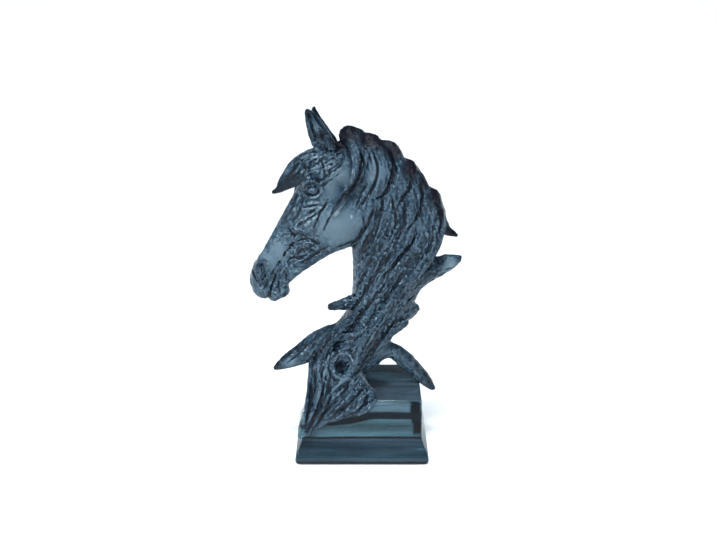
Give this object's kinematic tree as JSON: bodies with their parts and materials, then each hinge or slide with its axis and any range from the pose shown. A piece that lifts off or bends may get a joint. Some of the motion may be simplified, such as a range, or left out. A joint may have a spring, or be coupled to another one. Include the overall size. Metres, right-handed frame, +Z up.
{
  "type": "horse head sculpture",
  "caption": "Cast translucent horse head and neck with a windswept mane, rising from twisted roots on a rectangular plinth with a flared foot; stands on a shelf or desk.",
  "frame": {"origin": "centre of the plinth's flat underside", "axes": "+Z up from the underside to the ears; the muzzle points along -X and the windswept tips along +X; the near side of the head faces -Y"},
  "size_m": [0.1797, 0.0914, 0.3015],
  "materials": {
    "crystal": "polished, dyed smoky blue, with small bubbles"
  },
  "bodies": {
    "root": {"horse_head_sculpture": "crystal"}
  },
  "joints": []
}
